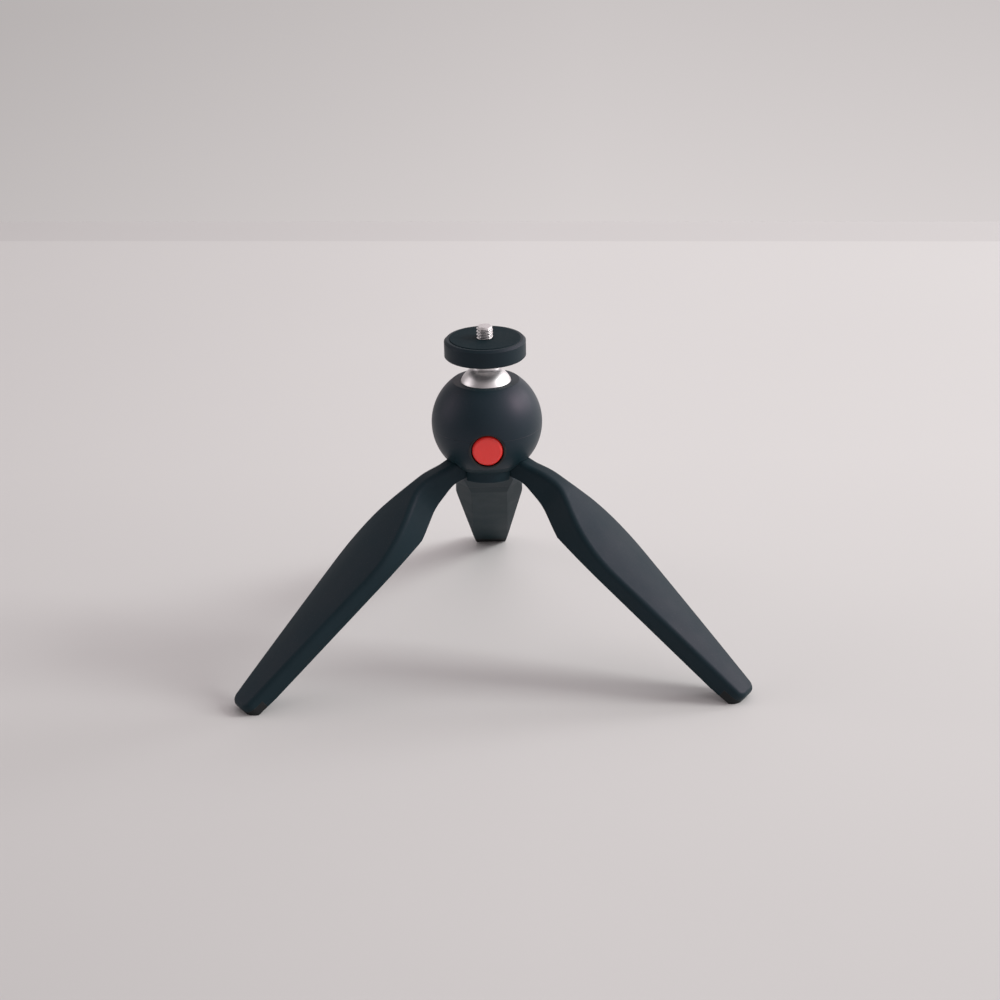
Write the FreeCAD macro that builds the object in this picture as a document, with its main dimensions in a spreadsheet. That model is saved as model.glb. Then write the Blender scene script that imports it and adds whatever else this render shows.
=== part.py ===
import FreeCAD, Part
import math
import os
import Sketcher

# Mini tripod for a small camera: a round housing with a ball head on top, a release button in
# front and three folding legs underneath. The legs stand open, which is the rest position.
# Origin on the tripod's centre line at the tabletop, +Z up, the button faces -Y, millimetres.

doc = FreeCAD.newDocument("MiniTripod")

# Driving dimensions, one row each: name, value, what it measures. A row that starts with an
# equals sign is worked out by the sheet from rows above it.
SIZES = (
    ("housing_height", 95.8, "centre of the round housing above the tabletop"),
    ("housing_radius", 21.5, "outside radius of the round housing"),
    ("shell_wall", 2.1, "wall of the housing shells"),
    ("hub_lift", 0.2, "flat bottom of the hub above the lowest point of the housing's round"),
    ("hub_bottom", "=housing_radius - hub_lift", "bottom of the hub below the housing centre"),
    ("hub_round", 1.0, "rounding of the hub's bottom edge"),
    ("collar_radius", 13.0, "radius of the hub's collar"),
    ("knuckle_radius", 4.5, "radius of a leg's knuckle"),
    ("slot_gap", 0.4, "clearance round the knuckle in its slot"),
    ("pivot_rise", 7.0, "leg pivots above the bottom of the hub"),
    ("pivot_drop", "=hub_bottom - pivot_rise", "leg pivots below the housing centre"),
    ("ceiling_flat", 1.2, "level part of the slot's ceiling, outward from the pivot"),
    ("ceiling_fall", 0.8, "outer end of the slot's ceiling below the pivots"),
    ("ceiling_drop", "=pivot_drop + ceiling_fall", "the same below the housing centre"),
    ("floor_skin", 1.2, "floor of the mechanism space, above the leg slots"),
    ("floor_drop", "=pivot_drop - knuckle_radius - slot_gap - floor_skin",
     "floor of the mechanism space below the housing centre"),
    ("mechanism_room", 7.2, "height of the mechanism space"),
    ("parting_drop", "=floor_drop - mechanism_room", "joint between the shells below the centre"),
    ("spigot_rise", 2.3, "height of the lower shell's spigot inside the upper shell"),
    ("spigot_inset", 1.15, "outside of that spigot inside the housing's outside"),
    ("spigot_radius", "=housing_radius - spigot_inset", "outside radius of that spigot"),
    ("plate_thick", 1.2, "thickness of the mechanism plate"),
    ("plate_gap", 0.2, "gap round the mechanism plate"),
    ("cup_lift", 0.7, "underside of the brake cup above the mechanism plate"),
    ("cup_bottom", "=plate_thick + cup_lift - parting_drop", "the same above the housing centre"),
    ("cup_floor", 0.9, "brake cup at its thinnest, under the ball"),
    ("cup_radius", 7.5, "radius of the brake cup"),
    ("seat_gap", 0.05, "running clearance of the ball in its ring and cup"),
    ("ball_radius", 10.75, "radius of the ball"),
    ("ball_rise", "=cup_bottom + cup_floor + seat_gap + ball_radius",
     "ball centre above the housing centre"),
    ("lip_gap", 0.2, "gap between the ball and the lip of the opening"),
    ("crown_drop", 4.35, "flat top of the housing below the highest point of its round"),
    ("crown_height", "=housing_radius - crown_drop", "flat top of the housing above its centre"),
    ("lip_thick", 1.45, "lip of the opening above the seat ring"),
    ("seat_top", "=crown_height - lip_thick", "top of the seat ring above the housing centre"),
    ("seat_length", 5.4, "length of the seat ring"),
    ("seat_wall", 2.4, "wall of the seat ring at its thinnest"),
    ("seat_radius", "=ball_radius + seat_gap + seat_wall", "outside radius of the seat ring"),
    ("leg_flat", 4.5, "inner face of a folded leg from the centre line"),
    ("neck_half", 3.95, "half the width of a leg's neck"),
    ("washer_radius", 3.6, "radius of a friction washer"),
    ("washer_thick", 0.4, "thickness of a friction washer"),
    ("washer_gap", 0.05, "gap between a leg's neck and its washer"),
    ("slot_half", "=neck_half + washer_thick + washer_gap", "half the width of a leg's slot"),
    ("pin_radius", 1.5, "radius of a hinge pin"),
    ("pin_grip", 3.0, "reach of a hinge pin into the hub at each end"),
    ("pin_half", "=slot_half + pin_grip", "half the length of a hinge pin"),
    ("pin_gap", 0.05, "running clearance of a leg's core on its pin"),
    ("neck_bore_gap", 0.1, "clearance of a leg shell round its pin"),
    ("open_angle", 52.4, "angle of an open leg from the vertical"),
    ("toe_short", 3.175, "end of the foot short of where the leg's line meets the tabletop"),
    ("leg_tip", "=(housing_height - pivot_drop) / cos(open_angle * 1 deg) - toe_short",
     "end of the foot from the pivot, along the leg"),
    ("neck_end", 22.8, "end of the straight neck from the pivot"),
    ("neck_round", 14.0, "sweep from the neck into the shoulder"),
    ("shoulder_half", 15.0, "half width of the shoulder before rounding"),
    ("shoulder_at", 46.5, "shoulder from the pivot"),
    ("shoulder_round", 58.5, "rounding of the shoulder"),
    ("foot_half", 6.0, "half width of the foot"),
    ("foot_round", 4.0, "rounding of the foot's corners"),
    ("throat_out", 6.8, "outer face at the throat, outward from the pivot"),
    ("throat_at", 9.0, "throat from the pivot"),
    ("throat_round", 12.0, "sweep of the outer face at the throat"),
    ("back_out", 11.2, "outer face at its highest before rounding, outward from the pivot"),
    ("back_at", 19.7, "highest place of the outer face from the pivot"),
    ("back_round", 30.0, "rounding of the outer face at its highest"),
    ("toe_out", 2.4, "outer face at the toe, outward from the pivot"),
    ("back_crown", 42.0, "crown radius of the outer face"),
    ("leg_edge", 2.2, "rounding of the outer face's edges"),
    ("waist_lean", 24.0, "angle at which the inner face draws in below the knuckle"),
    ("waist_reach", 10.0, "length of that slope to the waist, before rounding"),
    ("waist_round", 11.3, "rounding of the waist"),
    ("waist_end", 49.6, "end of the waist from the pivot"),
    ("waist_foot", 10.0, "rounding at the end of the waist"),
    ("seam_gap", 0.25, "half the gap between two folded legs"),
    ("leg_wall", 2.0, "wall of a leg shell"),
    ("tray_wall", 1.4, "wall of a leg's inner cover"),
    ("tray_start", 44.0, "start of the inner cover from the pivot"),
    ("hollow_start", "=tray_start + leg_wall", "start of the leg's hollow from the pivot"),
    ("pad_length", 7.4, "length of the rubber foot pad along the leg"),
    ("pad_depth", 3.5, "depth of the rubber foot pad"),
    ("tray_end", "=leg_tip - pad_length", "end of the inner cover from the pivot"),
    ("core_inside", 0.7, "inner face of a leg's steel core, outward from the pivot"),
    ("core_thick", 2.6, "thickness of the steel core"),
    ("core_bend", 9.0, "end of the slope from the core's eye to its strip, from the pivot"),
    ("core_half", 2.9, "half the width of the steel core"),
    ("core_eye", 3.2, "radius of the core's eye"),
    ("core_short", 2.0, "end of the core short of the leg's hollow"),
    ("core_end", "=hollow_start - core_short", "end of the core from the pivot"),
    ("button_lift", 3.3, "button axis above the floor of the mechanism space"),
    ("button_drop", "=floor_drop - button_lift", "button axis below the housing centre"),
    ("button_radius", 6.0, "radius of the red button cap"),
    ("button_sink", 1.1, "face of the button behind the housing's foremost point"),
    ("button_face", "=housing_radius - button_sink", "face of the button before the centre line"),
    ("button_edge", 1.2, "rounding of the button's edge"),
    ("cap_thick", 1.6, "thickness of the button cap"),
    ("plunger_step", 0.15, "plunger beyond the cap all round"),
    ("plunger_radius", "=button_radius + plunger_step", "radius of the plunger behind the cap"),
    ("plunger_length", 4.3, "length of the plunger"),
    ("plunger_floor", 1.3, "wall between the plunger's bore and the cap"),
    ("plunger_gap", 0.12, "clearance of the plunger in its sleeve"),
    ("plunger_room", 0.4, "room behind the plunger when it is pressed"),
    ("sleeve_wall", 0.93, "wall of the button's sleeve"),
    ("sleeve_radius", "=plunger_radius + plunger_gap + sleeve_wall", "outside radius of the sleeve"),
    ("sleeve_sink", 1.3, "face of the sleeve behind the housing's foremost point"),
    ("sleeve_face", "=housing_radius - sleeve_sink", "face of the sleeve before the centre line"),
    ("sleeve_edge", 0.3, "rounding of the sleeve's front edge"),
    ("sleeve_length", 5.4, "length of the sleeve"),
    ("button_travel", 2.5, "travel of the button"),
    ("brake_travel", 0.6, "travel of the brake cup"),
    ("stem_radius", 3.6, "radius of the brake cup's stem"),
    ("stem_room", 1.2, "room between the stem and the floor of the mechanism space"),
    ("stem_bottom", "=floor_drop - stem_room", "bottom of the stem below the housing centre"),
    ("stem_gap", 0.1, "clearance of the stem in the mechanism plate"),
    ("bore_skin", 1.4, "end of the stem's bore below the underside of the cup"),
    ("bore_top", "=bore_skin - cup_bottom", "top of the stem's bore below the housing centre"),
    ("fork_base", 1.3, "thickness of the fork's base"),
    ("fork_room", 0.8, "gap between the stem and a fork arm"),
    ("fork_inside", "=stem_radius + fork_room", "inside of a fork arm from the centre line"),
    ("fork_arm", 1.4, "thickness of a fork arm"),
    ("fork_outside", "=fork_inside + fork_arm", "outside of a fork arm from the centre line"),
    ("fork_roof", 0.6, "gap between the fork and the mechanism plate"),
    ("fork_top", "=parting_drop + fork_roof", "top of the fork below the housing centre"),
    ("fork_gap", 0.3, "gap between the fork and the floor"),
    ("fork_bottom", "=floor_drop - fork_gap", "bottom of the fork below the housing centre"),
    ("fork_reach", 4.6, "end of the fork's arms behind the centre line"),
    ("cam_lift", 3.6, "cam pins above the floor of the mechanism space"),
    ("cam_drop", "=floor_drop - cam_lift", "cam pins below the housing centre"),
    ("cam_radius", 0.9, "radius of a cam pin"),
    ("cam_gap", 0.06, "clearance of a cam pin in its slot"),
    ("notch_gap", 0.2, "gap beside the sleeve in the plate's notch"),
    ("tab_room", 2.8, "room for the spring between the pressed fork and the tab"),
    ("tab_thick", 1.0, "thickness of the spring tab"),
    ("tab_half", 2.6, "half the width of the spring tab"),
    ("boss_inset", 7.5, "plate bosses inside the housing's outside"),
    ("boss_place", "=housing_radius - boss_inset", "plate bosses from the centre line"),
    ("boss_radius", 2.2, "radius of a plate boss"),
    ("screw_radius", 1.0, "shank radius of the small screws"),
    ("head_radius", 1.9, "head radius of the small screws"),
    ("head_height", 1.3, "head height of the small screws"),
    ("socket_radius", 0.9, "six-sided socket of a small screw, centre to corner"),
    ("socket_depth", 0.7, "depth of that socket"),
    ("screw_gap", 0.1, "clearance round a small screw"),
    ("hub_screw_inset", 3.5, "hub screws inside the hub's collar"),
    ("hub_screw_place", "=collar_radius - hub_screw_inset", "hub screws from the centre line"),
    ("hub_screw_skin", 1.2, "tips of the hub screws below the floor of the mechanism space"),
    ("hub_screw_top", "=floor_drop + hub_screw_skin", "the same below the housing centre"),
    ("plate_screw_grip", 6.0, "reach of the plate screws into their bosses"),
    ("plate_screw_tip", "=parting_drop + plate_screw_grip", "their tips below the housing centre"),
    ("spring_bore", 2.5, "bore that each spring sits in"),
    ("spring_wire", 0.6, "wire of both springs"),
    ("spring_gap", 0.15, "clearance round a spring"),
    ("stud_neck", 4.9, "radius of the neck above the ball"),
    ("neck_fillet", 2.0, "fillet between the neck and the ball"),
    ("neck_rise", 3.55, "underside of the platform above the ball"),
    ("flange_radius", 7.0, "radius of the neck's flange under the platform"),
    ("flange_rise", 1.6, "height of the flange with its cone"),
    ("flange_edge", 0.7, "straight edge of the flange above the cone"),
    ("platform_gap", 0.1, "gap between the flange and the platform"),
    ("platform_bottom", "=ball_rise + ball_radius + neck_rise",
     "underside of the platform above the housing centre"),
    ("platform_height", 7.2, "height of the platform without its rubber pad"),
    ("platform_top", "=platform_bottom + platform_height", "its rim above the housing centre"),
    ("platform_radius", 15.8, "radius of the platform"),
    ("platform_floor", 1.6, "floor of the platform round the journal"),
    ("platform_edge", 0.9, "chamfer of the platform's top edge"),
    ("platform_foot", 0.5, "chamfer of the platform's bottom edge"),
    ("journal_radius", 3.2, "radius of the journal that carries the platform"),
    ("journal_rise", 3.0, "journal above the platform's underside"),
    ("journal_top", "=platform_bottom + journal_rise", "its top above the housing centre"),
    ("journal_gap", 0.08, "running clearance of the platform on its journal"),
    ("clip_groove", 0.6, "depth of the clip's groove in the journal"),
    ("clip_seat", "=journal_radius - clip_groove", "radius of that groove"),
    ("clip_radius", 4.8, "outside radius of the retaining clip"),
    ("clip_thick", 0.6, "thickness of the retaining clip"),
    ("clip_gap", 0.4, "gap round the clip in the platform"),
    ("clip_room", "=clip_radius + clip_gap", "radius of the clip's room in the platform"),
    ("rim_width", 1.95, "rim of the platform round the rubber pad"),
    ("pad_radius", "=platform_radius - rim_width", "radius of the platform's rubber pad"),
    ("pad_thick", 1.2, "thickness of the rubber pad"),
    ("pad_proud", 0.3, "rubber pad above the platform's rim"),
    ("pad_edge", 0.25, "chamfer of the rubber pad's edge"),
    ("flange_thick", 1.6, "thickness of the camera screw's flange"),
    ("flange_reach", 6.4, "radius of the camera screw's flange"),
    ("thread_radius", 3.175, "radius of the 1/4 inch camera screw"),
    ("thread_gap", 0.15, "gap between the camera screw and the pad"),
    ("thread_rise", 4.7, "camera screw above the pad"),
    ("thread_bevel", 0.6, "bevel of the camera screw's tip"),
    ("thread_relief", 2.6, "radius of the camera screw's undercut, inside the pad"),
)

sheet = doc.addObject("Spreadsheet::Sheet", "Sizes")
for row, (alias, value, meaning) in enumerate(SIZES, start=1):
    sheet.set(f"A{row}", meaning)
    sheet.set(f"B{row}", str(value))
    sheet.setAlias(f"B{row}", alias)
doc.recompute()


class Size:
    """A measure that keeps its value and the sheet formula that it comes from."""

    def __init__(self, value, formula=None):
        self.value = value
        self.formula = formula or str(value)

    def join(self, other, sign, value):
        return Size(value, f"({self.formula} {sign} {other.formula})")

    def __add__(self, other):
        other = as_size(other)
        return self.join(other, "+", self.value + other.value)

    def __sub__(self, other):
        other = as_size(other)
        return self.join(other, "-", self.value - other.value)

    def __mul__(self, other):
        other = as_size(other)
        return self.join(other, "*", self.value * other.value)

    def __truediv__(self, other):
        other = as_size(other)
        return self.join(other, "/", self.value / other.value)

    def __neg__(self):
        return Size(-self.value, f"(-1 * {self.formula})")


def as_size(number):
    return number if isinstance(number, Size) else Size(number)


def root(size):
    return Size(math.sqrt(size.value), f"sqrt({size.formula})")


def sine(angle):
    return Size(math.sin(math.radians(angle.value)), f"sin({angle.formula} * 1 deg)")


def cosine(angle):
    return Size(math.cos(math.radians(angle.value)), f"cos({angle.formula} * 1 deg)")


def across(radius, offset):
    """Half the chord of a circle of this radius, at this distance from its centre."""
    return root(radius * radius - offset * offset)


class Measures:
    """Every row of the sheet by its name, as a Size."""

    def __init__(self, table):
        for alias, _, _ in table:
            setattr(self, alias, Size(float(getattr(sheet, alias)), f"Sizes.{alias}"))


mm = Measures(SIZES)


class Corner:
    """A corner of an outline: rounded by a radius, or the start of an arc about a centre."""

    def __init__(self, x, y, rounding=None, arc=None):
        self.x = as_size(x)
        self.y = as_size(y)
        self.rounding = rounding
        self.arc = arc

    def place(self):
        return FreeCAD.Vector(self.x.value, self.y.value, 0)


def bind(sketch, constraint, size):
    index = sketch.addConstraint(constraint)
    if "Sizes" in size.formula:
        sketch.setExpression(f"Constraints[{index}]", size.formula)


def pin_point(sketch, geometry, end, corner):
    origin = (-1, 1)
    bind(sketch, Sketcher.Constraint("DistanceX", *origin, geometry, end, corner.x.value), corner.x)
    bind(sketch, Sketcher.Constraint("DistanceY", *origin, geometry, end, corner.y.value), corner.y)


def short_arc(centre, start, end):
    """The arc of under half a circle, and which of its ends (1 or 2) is the start."""
    radius = (start - centre).Length
    first = math.atan2(start.y - centre.y, start.x - centre.x)
    last = math.atan2(end.y - centre.y, end.x - centre.x)
    circle = Part.Circle(centre, FreeCAD.Vector(0, 0, 1), radius)
    if (last - first) % (2 * math.pi) < math.pi:
        return Part.ArcOfCircle(circle, first, last), 1, 2
    return Part.ArcOfCircle(circle, last, first), 2, 1


def draw_outline(sketch, corners):
    """One closed outline through the corners, every corner and radius bound to the sheet."""
    count = len(corners)
    arrive = []
    leave = []
    centres = []
    for index, corner in enumerate(corners):
        here = corner.place()
        if corner.rounding is None:
            arrive.append(here)
            leave.append(here)
            centres.append(None)
            continue
        back = (corners[index - 1].place() - here).normalize()
        ahead = (corners[(index + 1) % count].place() - here).normalize()
        half_turn = back.getAngle(ahead) / 2
        reach = corner.rounding.value / math.tan(half_turn)
        arrive.append(here + back * reach)
        leave.append(here + ahead * reach)
        centres.append(here + (back + ahead).normalize() * (corner.rounding.value / math.sin(half_turn)))

    sides = []
    for index, corner in enumerate(corners):
        start = leave[index]
        end = arrive[(index + 1) % count]
        if corner.arc:
            centre_x, centre_y, radius = corner.arc
            centre = FreeCAD.Vector(as_size(centre_x).value, as_size(centre_y).value, 0)
            arc, start_end, end_end = short_arc(centre, start, end)
            geometry = sketch.addGeometry(arc, False)
            bind(sketch, Sketcher.Constraint("Radius", geometry, radius.value), radius)
            sides.append((geometry, start_end, end_end))
        else:
            geometry = sketch.addGeometry(Part.LineSegment(start, end), False)
            sides.append((geometry, 1, 2))

    for index, corner in enumerate(corners):
        before, _, before_end = sides[index - 1]
        after, after_start, _ = sides[index]
        if corner.rounding is None:
            sketch.addConstraint(Sketcher.Constraint("Coincident", before, before_end, after, after_start))
            pin_point(sketch, after, after_start, corner)
            continue
        tip = sketch.addGeometry(Part.Point(corner.place()), True)
        pin_point(sketch, tip, 1, corner)
        for side in (before, after):
            sketch.addConstraint(Sketcher.Constraint("PointOnObject", tip, 1, side))
        arc, start_end, end_end = short_arc(centres[index], arrive[index], leave[index])
        geometry = sketch.addGeometry(arc, False)
        sketch.addConstraint(Sketcher.Constraint("Tangent", before, before_end, geometry, start_end))
        sketch.addConstraint(Sketcher.Constraint("Tangent", after, after_start, geometry, end_end))
        bind(sketch, Sketcher.Constraint("Radius", geometry, corner.rounding.value), corner.rounding)


def draw_circle(sketch, x, y, radius):
    centre = Corner(x, y)
    geometry = sketch.addGeometry(Part.Circle(centre.place(), FreeCAD.Vector(0, 0, 1), radius.value), False)
    pin_point(sketch, geometry, 3, centre)
    bind(sketch, Sketcher.Constraint("Radius", geometry, radius.value), radius)


def draw_axis(sketch, start, end):
    geometry = sketch.addGeometry(Part.LineSegment(start.place(), end.place()), True)
    pin_point(sketch, geometry, 1, start)
    pin_point(sketch, geometry, 2, end)


def new_body(name):
    return doc.addObject("PartDesign::Body", name)


def new_sketch(body, name, plane, lift=None):
    """A sketch on one of the body's own planes, or at a height above it."""
    sketch = body.newObject("Sketcher::SketchObject", f"{body.Name}_{name}")
    support = [feature for feature in body.Origin.OriginFeatures if feature.Role == plane]
    sketch.AttachmentSupport = [(support[0], "")]
    sketch.MapMode = "FlatFace"
    if lift is not None:
        sketch.AttachmentOffset = FreeCAD.Placement(FreeCAD.Vector(0, 0, lift.value), FreeCAD.Rotation())
        sketch.setExpression("AttachmentOffset.Base.z", lift.formula)
    return sketch


def revolve(body, sketch, axis="V_Axis", angle=360, cut=False):
    kind = "Groove" if cut else "Revolution"
    feature = body.newObject(f"PartDesign::{kind}", f"{sketch.Name}_{kind}")
    feature.Profile = sketch
    feature.ReferenceAxis = (sketch, [axis])
    feature.Midplane = angle != 360
    feature.Angle = angle
    return feature


def pad(body, sketch, length, both_ways=False):
    feature = body.newObject("PartDesign::Pad", f"{sketch.Name}_Pad")
    feature.Profile = sketch
    feature.SideType = "Symmetric" if both_ways else "One side"
    feature.Length = length.value
    feature.setExpression("Length", length.formula)
    return feature


def pocket(body, sketch, length=None, both_ways=True, other_way=False):
    """A cut of a given length, or right through when no length is given."""
    feature = body.newObject("PartDesign::Pocket", f"{sketch.Name}_Pocket")
    feature.Profile = sketch
    feature.SideType = "Symmetric" if both_ways else "One side"
    feature.Reversed = other_way
    if length is None:
        feature.Type = "ThroughAll"
    else:
        feature.Length = length.value
        feature.setExpression("Length", length.formula)
    return feature


def three_times(body, features):
    """The same features again a third of a turn on, and once more."""
    pattern = body.newObject("PartDesign::PolarPattern", f"{body.Name}_{features[-1].Name}_Thirds")
    pattern.Originals = features
    upright = [feature for feature in body.Origin.OriginFeatures if feature.Role == "Z_Axis"]
    pattern.Axis = (upright[0], [""])
    pattern.Angle = 360
    pattern.Occurrences = 3
    body.Tip = pattern
    return pattern


def turned_part(name, corners, plane="XZ_Plane"):
    body = new_body(name)
    sketch = new_sketch(body, "profile", plane)
    draw_outline(sketch, corners)
    revolve(body, sketch)
    return body


def combine(kind, name, base, tools):
    """A Cut or Common of one solid with others, one after the other."""
    result = base
    for index, tool in enumerate(tools, start=1):
        operation = doc.addObject(f"Part::{kind}", name if index == len(tools) else f"{name}_{index}")
        operation.Base = result
        operation.Tool = tool
        result = operation
    return result


# Pieces to be written: name and object.
nodes = []


def keep(label, thing, placement=None):
    thing.Label = label
    if placement is not None:
        thing.Placement = placement
    nodes.append((label, thing))
    return thing


def keep_in_housing(label, thing):
    """A piece drawn about the housing's centre."""
    keep(label, thing)
    thing.setExpression("Placement.Base.z", mm.housing_height.formula)
    return thing


# Housing shells. Two moulded half balls meet just below the middle: the upper one holds the
# ball's seat, the lower one the release mechanism and the upper half of the leg hinges.
parting = -mm.parting_drop
spigot_top = parting + mm.spigot_rise
inner_radius = mm.housing_radius - mm.shell_wall
seat_bottom = mm.seat_top - mm.seat_length
lip_radius = mm.ball_radius + mm.lip_gap
pivot_level = -mm.pivot_drop
pivot_radius = mm.leg_flat + mm.knuckle_radius
sleeve_back = mm.sleeve_face - mm.sleeve_length
cap_back = mm.button_face - mm.cap_thick
plunger_back = cap_back - mm.plunger_length
plunger_reach = plunger_back - mm.button_travel - mm.plunger_room
tab_face = plunger_back - mm.fork_base - mm.button_travel - mm.tab_room
CENTRE = (0, 0)
BEYOND = 30.0


def at_level(radius, level, centre=0):
    """The corner of a ball of this radius at this level."""
    return across(radius, level - centre)


def bore_from_front(body, name, radius, back):
    """A bore on the button's axis, from the front to this distance before the centre line."""
    sketch = new_sketch(body, name, "XZ_Plane", back)
    draw_circle(sketch, 0, -mm.button_drop, radius)
    return pocket(body, sketch, both_ways=False, other_way=True)


upper_shell = turned_part("UpperShell", [
    Corner(at_level(mm.housing_radius, parting), parting, arc=(*CENTRE, mm.housing_radius)),
    Corner(at_level(mm.housing_radius, mm.crown_height), mm.crown_height),
    Corner(at_level(lip_radius, mm.crown_height, mm.ball_rise), mm.crown_height,
           arc=(0, mm.ball_rise, lip_radius)),
    Corner(at_level(lip_radius, mm.seat_top, mm.ball_rise), mm.seat_top),
    Corner(mm.seat_radius, mm.seat_top),
    Corner(mm.seat_radius, seat_bottom),
    Corner(at_level(inner_radius, seat_bottom), seat_bottom, arc=(*CENTRE, inner_radius)),
    Corner(at_level(inner_radius, spigot_top), spigot_top),
    Corner(mm.spigot_radius, spigot_top),
    Corner(mm.spigot_radius, parting),
])
bore_from_front(upper_shell, "sleeve_hole", mm.sleeve_radius, sleeve_back)
keep_in_housing("upper_shell", upper_shell)

hub_level = at_level(mm.housing_radius, pivot_level)
lower_shell = turned_part("LowerShell", [
    Corner(at_level(mm.housing_radius, parting), parting),
    Corner(mm.spigot_radius, parting),
    Corner(mm.spigot_radius, spigot_top),
    Corner(at_level(inner_radius, spigot_top), spigot_top, arc=(*CENTRE, inner_radius)),
    Corner(at_level(inner_radius, -mm.floor_drop), -mm.floor_drop),
    Corner(0, -mm.floor_drop),
    Corner(0, pivot_level),
    Corner(hub_level, pivot_level, arc=(*CENTRE, mm.housing_radius)),
])


def cut_hinges(body):
    """Three slots for the legs' knuckles and the bores of their pins, through the hub."""
    knuckle_room = mm.knuckle_radius + mm.slot_gap
    slot = new_sketch(body, "slot", "YZ_Plane")
    draw_outline(slot, [
        Corner(pivot_radius - knuckle_room, -BEYOND),
        Corner(pivot_radius - knuckle_room, pivot_level, arc=(pivot_radius, pivot_level, knuckle_room)),
        Corner(pivot_radius, pivot_level + knuckle_room),
        Corner(pivot_radius + mm.ceiling_flat, pivot_level + knuckle_room),
        Corner(mm.housing_radius + mm.slot_gap, -mm.ceiling_drop),
        Corner(BEYOND, -mm.ceiling_drop),
        Corner(BEYOND, -BEYOND),
    ])
    slot_cut = pocket(body, slot, mm.slot_half * 2)
    bore = new_sketch(body, "pin_bore", "YZ_Plane")
    draw_circle(bore, pivot_radius, pivot_level, mm.pin_radius)
    bore_cut = pocket(body, bore, mm.pin_half * 2)
    three_times(body, [slot_cut, bore_cut])


def thirds(first_angle, distance):
    """Three places a third of a turn apart, as bound x and y."""
    for step in range(3):
        angle = Size(first_angle + 120 * step)
        yield distance * cosine(angle), distance * sine(angle)


bosses = new_sketch(lower_shell, "bosses", "XY_Plane", -mm.floor_drop)
for boss_x, boss_y in thirds(90, mm.boss_place):
    draw_circle(bosses, boss_x, boss_y, mm.boss_radius)
pad(lower_shell, bosses, mm.floor_drop - mm.parting_drop)
cut_hinges(lower_shell)
bore_from_front(lower_shell, "sleeve_hole", mm.sleeve_radius, sleeve_back)
bore_from_front(lower_shell, "plunger_way", mm.plunger_radius + mm.plunger_gap, plunger_reach)

plate_screw_holes = new_sketch(lower_shell, "plate_screw_holes", "XY_Plane", parting)
for hole_x, hole_y in thirds(90, mm.boss_place):
    draw_circle(plate_screw_holes, hole_x, hole_y, mm.screw_radius)
pocket(lower_shell, plate_screw_holes, mm.plate_screw_tip - mm.parting_drop, both_ways=False)

hub_screw_holes = new_sketch(lower_shell, "hub_screw_holes", "XY_Plane", pivot_level)
for hole_x, hole_y in thirds(30, mm.hub_screw_place):
    draw_circle(hub_screw_holes, hole_x, hole_y, mm.screw_radius)
pocket(lower_shell, hub_screw_holes, mm.pivot_drop - mm.hub_screw_top, both_ways=False, other_way=True)
keep_in_housing("lower_shell", lower_shell)

# Hub base: the lower half of the leg hinges, which clamps the pins and is screwed on from below.
collar_top = -across(mm.housing_radius, mm.collar_radius)
hub_base = turned_part("HubBase", [
    Corner(0, pivot_level),
    Corner(hub_level, pivot_level, arc=(*CENTRE, mm.housing_radius)),
    Corner(mm.collar_radius, collar_top),
    Corner(mm.collar_radius, -mm.hub_bottom, rounding=mm.hub_round),
    Corner(0, -mm.hub_bottom),
])
cut_hinges(hub_base)
hub_screw_way = new_sketch(hub_base, "screw_way", "XY_Plane", -mm.hub_bottom)
hub_screw_seat = new_sketch(hub_base, "screw_seat", "XY_Plane", -mm.hub_bottom)
for hole_x, hole_y in thirds(30, mm.hub_screw_place):
    draw_circle(hub_screw_way, hole_x, hole_y, mm.screw_radius + mm.screw_gap)
    draw_circle(hub_screw_seat, hole_x, hole_y, mm.head_radius + mm.screw_gap)
pocket(hub_base, hub_screw_way, both_ways=False, other_way=True)
head_room = mm.head_height + mm.screw_gap
pocket(hub_base, hub_screw_seat, head_room, both_ways=False, other_way=True)
keep_in_housing("hub_base", hub_base)


def hexagon(x, y, radius):
    """The corners of a regular hexagon about a place."""
    angles = [Size(60.0 * step) for step in range(6)]
    return [Corner(x + radius * cosine(angle), y + radius * sine(angle)) for angle in angles]


def screw_group(name, first_angle, distance, seat, length, head_up):
    """Three small screws with cylindrical heads, the heads resting on a seat at this level."""
    body = new_body(name)
    for part, radius, reach in (
        ("shanks", mm.screw_radius, length),
        ("heads", mm.head_radius, mm.head_height),
    ):
        sketch = new_sketch(body, part, "XY_Plane", seat)
        for x, y in thirds(first_angle, distance):
            draw_circle(sketch, x, y, radius)
        pad(body, sketch, reach).Reversed = (part == "shanks") == head_up
    head_end = seat + mm.head_height if head_up else seat - mm.head_height
    sockets = new_sketch(body, "sockets", "XY_Plane", head_end)
    for x, y in thirds(first_angle, distance):
        draw_outline(sockets, hexagon(x, y, mm.socket_radius))
    pocket(body, sockets, mm.socket_depth, both_ways=False, other_way=not head_up)
    return body


hub_seat = -mm.hub_bottom + head_room
hub_screws = screw_group("HubScrews", 30, mm.hub_screw_place, hub_seat, -mm.hub_screw_top - hub_seat,
                         head_up=False)
keep_in_housing("hub_screws", hub_screws)

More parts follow.
